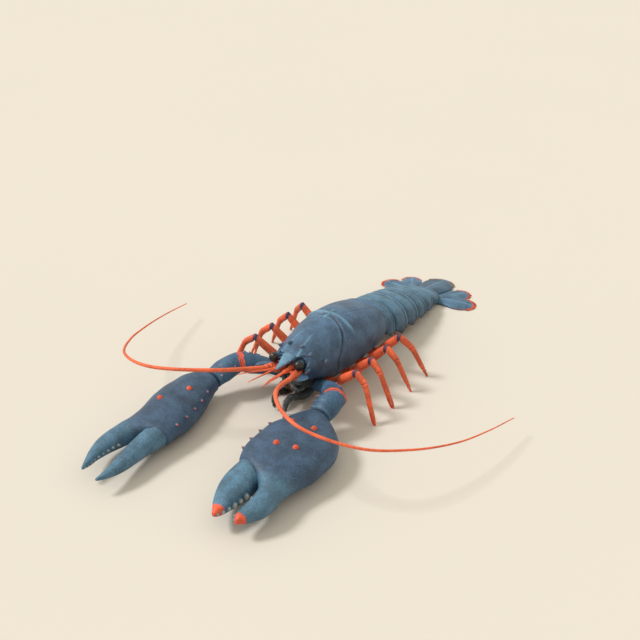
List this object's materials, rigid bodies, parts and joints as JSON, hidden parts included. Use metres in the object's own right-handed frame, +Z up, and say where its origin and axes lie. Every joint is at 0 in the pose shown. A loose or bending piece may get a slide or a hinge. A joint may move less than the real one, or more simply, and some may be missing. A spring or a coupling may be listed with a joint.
{
  "type": "american lobster",
  "caption": "Life-size american lobster standing still on its walking legs, claws spread in front, tail laid flat and fanned, long antennae swept round to the sides.",
  "frame": {"origin": "on the floor under the middle of the whole animal's box, antennae included", "axes": "+Z up off the floor, +Y from the head towards the tail fan along the body, +X towards the animal's left side"},
  "size_m": [0.3786, 0.5007, 0.067],
  "materials": {
    "shell_blue": "hard calcified shell, satin, dark slate blue with fine pitting, speckles and small tubercles",
    "tail_blue": "hard shell rings, satin, slate blue with a lighter rear band",
    "light_blue": "hard shell, satin, lighter steel blue, reddish along fringed edges and claw tips",
    "arm_blue": "hard shell, satin, mid blue with orange-red joints and spines",
    "breast_slate": "thin shell of the underside and mouth limbs, matt dark slate",
    "limb_orange": "slender limb shell, satin orange-red, dark blue bands at the knees",
    "eye_black": "glossy near-black eye surface with fine facets"
  },
  "bodies": {
    "root": {"carapace": "shell_blue", "sternum": "breast_slate", "eye_left": "eye_black", "eyestalk_left": "arm_blue", "antenna_stem_left": "limb_orange", "antenna_left_1": "limb_orange", "antenna_left_2": "limb_orange", "antenna_left_3": "limb_orange", "antenna_scale_left": "arm_blue", "antennule_left": "limb_orange", "maxilliped_left": "breast_slate", "leg_left_1_upper": "limb_orange", "leg_left_1_lower": "limb_orange", "leg_left_2_upper": "limb_orange", "leg_left_2_lower": "limb_orange", "leg_left_3_upper": "limb_orange", "leg_left_3_lower": "limb_orange", "leg_left_4_upper": "limb_orange", "leg_left_4_lower": "limb_orange", "eye_right": "eye_black", "eyestalk_right": "arm_blue", "antenna_stem_right": "limb_orange", "antenna_right_1": "limb_orange", "antenna_right_2": "limb_orange", "antenna_right_3": "limb_orange", "antenna_scale_right": "arm_blue", "antennule_right": "limb_orange", "maxilliped_right": "breast_slate", "leg_right_1_upper": "limb_orange", "leg_right_1_lower": "limb_orange", "leg_right_2_upper": "limb_orange", "leg_right_2_lower": "limb_orange", "leg_right_3_upper": "limb_orange", "leg_right_3_lower": "limb_orange", "leg_right_4_upper": "limb_orange", "leg_right_4_lower": "limb_orange", "crusher_arm_root": "arm_blue", "crusher_upper_arm": "arm_blue", "crusher_wrist": "arm_blue", "crusher_palm": "shell_blue", "crusher_finger": "light_blue", "cutter_arm_root": "arm_blue", "cutter_upper_arm": "arm_blue", "cutter_wrist": "arm_blue", "cutter_palm": "shell_blue", "cutter_finger": "light_blue", "tail_ring_1": "tail_blue", "tail_ring_2": "tail_blue", "tail_ring_3": "tail_blue", "tail_ring_4": "tail_blue", "tail_ring_5": "tail_blue", "tail_ring_6": "tail_blue", "telson": "light_blue", "uropod_inner_left": "light_blue", "uropod_outer_left": "light_blue", "uropod_inner_right": "light_blue", "uropod_outer_right": "light_blue"}
  },
  "joints": []
}
